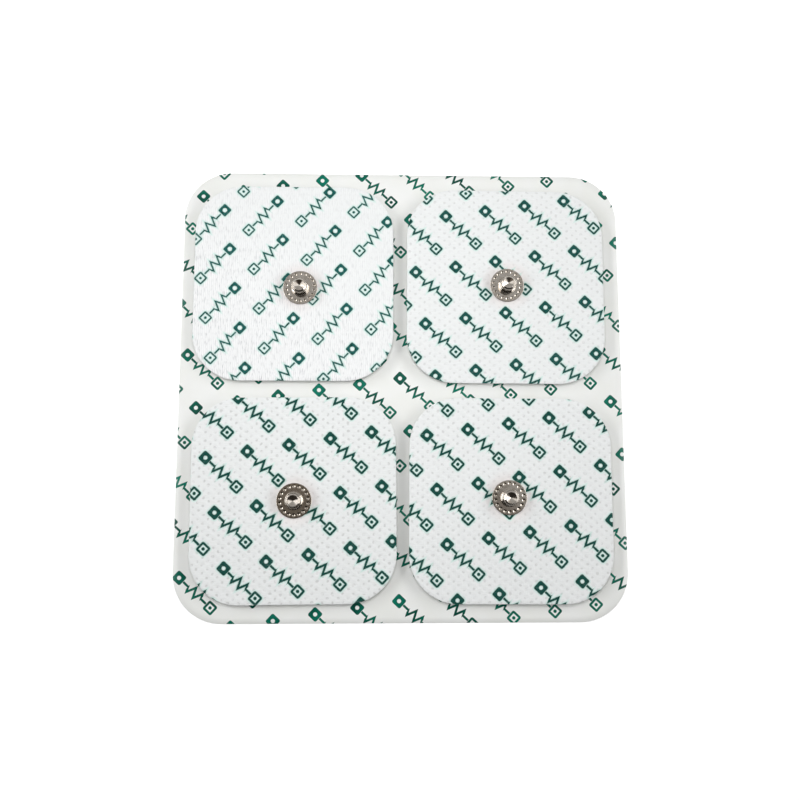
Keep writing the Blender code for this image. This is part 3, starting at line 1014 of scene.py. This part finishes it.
def ribs_and_streaks(tree, plan):
    """How dark the ribs and the streaks are."""
    ribs = add(
        tree, "ShaderNodeTexWave",
        {"Vector": plan, "Scale": RIB_SCALE, "Distortion": 2.2, "Detail": 2.0, "Detail Scale": 0.8},
        bands_direction="X",
    ).outputs["Fac"]
    drawn_out = add(tree, "ShaderNodeMapping", {"Vector": plan, "Scale": STREAKS}).outputs[0]
    streaks = fade(tree, noise(tree, drawn_out, 1.0, 2.0)["Fac"], 0.54, 0.66)
    ribs = calc(tree, "MULTIPLY", ribs, RIB_SHARE)
    ribs = calc(tree, "MULTIPLY_ADD", streaks, STREAK_SHARE, ribs)
    return calc(tree, "MULTIPLY", ribs, toward_corner(tree, plan, 0.35, 1.0))


def dark_specks(tree, plan, chosen_share):
    """Small round specks, one in each chosen cell."""
    cells = add(tree, "ShaderNodeTexVoronoi", {"Vector": plan, "Scale": 1 / SPECK_CELL}).outputs
    chance = add(tree, "ShaderNodeSeparateColor", {0: cells["Color"]}).outputs[0]
    chosen = calc(tree, "LESS_THAN", chance, chosen_share)
    size = SPECK_SIZE / SPECK_CELL
    return calc(tree, "MULTIPLY", fade(tree, cells["Distance"], size, 0.4 * size), chosen)


print("ribs", RIB_SHARE, "streaks", STREAK_SHARE)

# %% [markdown]
# Now the fabric itself. Its tone starts white and takes one layer after another, each by its
# own mask, and the ink comes last.

# %% Fabric
INK_RAGGED = (0.22, 0.22, 0.0)
INK_EDGE = 0.10
SNAP_SHADE_STRENGTH = 0.6
BLEED_STRENGTH = 0.5


def fabric(pad, settings):
    """The finish of one cover, on its own plan."""
    made, tree, sockets = new_material(
        pad + "_nonwoven", Roughness=0.92, Sheen_Weight=0.12, Sheen_Roughness=0.5,
        Specular_IOR_Level=0.25,
    )
    plan = add(tree, "ShaderNodeUVMap", uv_map="plan").outputs[0]
    turn = (0.0, 0.0, math.radians(settings["web_turn"]))
    on_web = add(tree, "ShaderNodeMapping", {"Vector": plan, "Rotation": turn}).outputs[0]
    web = use_group(tree, BONDED_WEB, Vector=on_web)

    ragged = noise(tree, on_web, 4.0, 2.0)["Color"]
    soaked = add(
        tree, "ShaderNodeVectorMath", {0: ragged, 1: INK_RAGGED, 2: on_web},
        operation="MULTIPLY_ADD",
    ).outputs[0]
    motif = use_group(
        tree, PRINTED_MOTIF, Vector=print_rows(tree, soaked, settings["slide"]),
        Softness=INK_EDGE, Thinned=settings["thinned"],
    )
    printed = attribute(tree, "printed_side")
    ink = calc(tree, "MULTIPLY", motif["Ink"], printed)
    ink = calc(tree, "MULTIPLY", ink, fade(tree, web["Fibres"], 0.0, 0.25, 0.86, 1.0))
    bleed = calc(tree, "MULTIPLY", motif["Bleed"], printed)

    gaps = calc(tree, "SUBTRACT", 1.0, web["Fibres"])
    tone = tinted(tree, settings["white"], gaps, settings["fibres"], FABRIC_SHADE)
    # Painted light: the cover is made whiter toward its lower left corner
    tone = tinted(tree, tone, toward_corner(tree, plan), settings["ribs"], FABRIC_PAINTED_LIGHT)
    tone = tinted(tree, tone, web["Dots"], settings["dots"], FABRIC_DOT)
    # Painted shade round the snap, from its point attribute
    tone = tinted(tree, tone, attribute(tree, "snap_shade"), SNAP_SHADE_STRENGTH, FABRIC_SNAP_SHADE)
    tone = tinted(tree, tone, ribs_and_streaks(tree, plan), settings["ribs"], FABRIC_RIB)
    tone = blend(tree, dark_specks(tree, plan, settings["specks"]), tone, FABRIC_SPECK)
    tone = tinted(tree, tone, bleed, BLEED_STRENGTH, FABRIC_BLEED)
    tint = blend(tree, web["Dots"], settings["ink"], FABRIC_INK_DEEP)
    tree.links.new(blend(tree, ink, tone, tint), sockets["Base Color"])
    relief(tree, sockets, web["Height"], settings["relief"] * MM)
    return made


for pad, cover in covers.items():
    cover.data.materials.append(fabric(pad, FABRICS[pad]))
print(len(covers), "fabrics")

# %% [markdown]
# ## The liner's finish
# The same print lies on the liner, crisp and brighter, because the film doesn't soak it up. The
# face is a satin white, and the underside is plain.

# %% Liner film
LINER_WHITE = colour(240, 241, 239)
LINER_CLOUD = colour(237, 238, 234)
LINER_INK = colour(0, 64, 52)
LINER_INK_LIGHT = colour(0, 113, 92)
LINER_SLIDE = (6.0, 2.0)

liner_film, tree, sockets = new_material("liner_film", Specular_IOR_Level=0.26)
place = millimetres(tree)
grain = use_group(tree, FINE_GRAIN, Vector=place, Grain=0.25, Cloud=9.0)
rows = print_rows(tree, place, LINER_SLIDE)
ink = use_group(tree, PRINTED_MOTIF, Vector=rows, Softness=0.05, Thinned=0.03)["Ink"]
ink = calc(tree, "MULTIPLY", ink, attribute(tree, "printed_side"))
tone = blend(tree, grain["Broad"], LINER_WHITE, LINER_CLOUD)
tint = blend(tree, grain["Broad"], LINER_INK, LINER_INK_LIGHT)
tree.links.new(blend(tree, ink, tone, tint), sockets["Base Color"])
polish(tree, sockets, grain["Broad"], 0.36, 0.46)
relief(tree, sockets, grain["Height"], 0.004 * MM)
liner.data.materials.append(liner_film)
print("liner film")

# %% [markdown]
# ## Gel, carbon film and patches
# The gel is clear with a faint warm tint, so it lets light through. The carbon film is a dull
# black. The patch over the back of the snap is a milky film.

# %% Gel, film and patch
gel_finish, tree, sockets = new_material(
    "clear_gel", Roughness=0.22, Transmission_Weight=0.55, IOR=1.38,
)
grain = use_group(tree, FINE_GRAIN, Vector=millimetres(tree), Grain=0.5, Cloud=4.0)
tone = blend(tree, grain["Broad"], colour(232, 229, 214), colour(224, 221, 203))
tree.links.new(tone, sockets["Base Color"])
relief(tree, sockets, grain["Height"], 0.02 * MM)

carbon_finish, tree, sockets = new_material("carbon_black")
grain = use_group(tree, FINE_GRAIN, Vector=millimetres(tree), Grain=0.1, Cloud=3.0)
tone = blend(tree, grain["Fine"], colour(30, 30, 31), colour(44, 44, 45))
tree.links.new(tone, sockets["Base Color"])
polish(tree, sockets, grain["Broad"], 0.5, 0.65)
relief(tree, sockets, grain["Height"], 0.006 * MM)

patch_finish, tree, sockets = new_material("milky_patch")
grain = use_group(tree, FINE_GRAIN, Vector=millimetres(tree), Grain=0.2, Cloud=2.5)
tone = blend(tree, grain["Broad"], colour(236, 236, 231), colour(226, 226, 220))
tree.links.new(tone, sockets["Base Color"])
polish(tree, sockets, grain["Fine"], 0.42, 0.55)
relief(tree, sockets, grain["Height"], 0.006 * MM)

for pad in PADS:
    gels[pad].data.materials.append(gel_finish)
    films[pad].data.materials.append(carbon_finish)
print("gel, film and patch")

# %% [markdown]
# ## Nickel
# The snaps are nickel plated: a warm grey metal, polished by the press, with a faint haze and
# fine marks, and darker and rougher down in the dimples.

# %% Nickel
NICKEL = colour(204, 197, 188)
NICKEL_HAZE = colour(186, 177, 166)
NICKEL_DIMPLE = colour(168, 156, 142)
NICKEL_RELIEF = 0.0004 * MM


def nickel(name, dimpled):
    """The plating, with duller dimples where the piece has that attribute."""
    made, tree, sockets = new_material(name, Metallic=1.0)
    grain = use_group(tree, FINE_GRAIN, Vector=millimetres(tree), Grain=0.10, Cloud=0.9)
    tone = blend(tree, grain["Broad"], NICKEL, NICKEL_HAZE)
    rough = fade(tree, grain["Broad"], 0.0, 1.0, 0.13, 0.20)
    if dimpled:
        dip = attribute(tree, "dimple")
        tone = tinted(tree, tone, dip, 0.7, NICKEL_DIMPLE)
        rough = calc(tree, "MULTIPLY_ADD", dip, 0.08, rough)
    tree.links.new(tone, sockets["Base Color"])
    tree.links.new(rough, sockets["Roughness"])
    relief(tree, sockets, grain["Height"], NICKEL_RELIEF)
    return made


plating = nickel("nickel", True)
eyelet_plating = nickel("nickel_eyelet", False)
for pad in PADS:
    studs[pad].data.materials.append(plating)
    for node, finish in (("snap_eyelet", eyelet_plating), ("eyelet_patch", patch_finish)):
        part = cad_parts[f"{pad}_{node}"]
        part.data.materials.clear()
        part.data.materials.append(finish)
print("nickel on", 2 * len(PADS), "pieces")
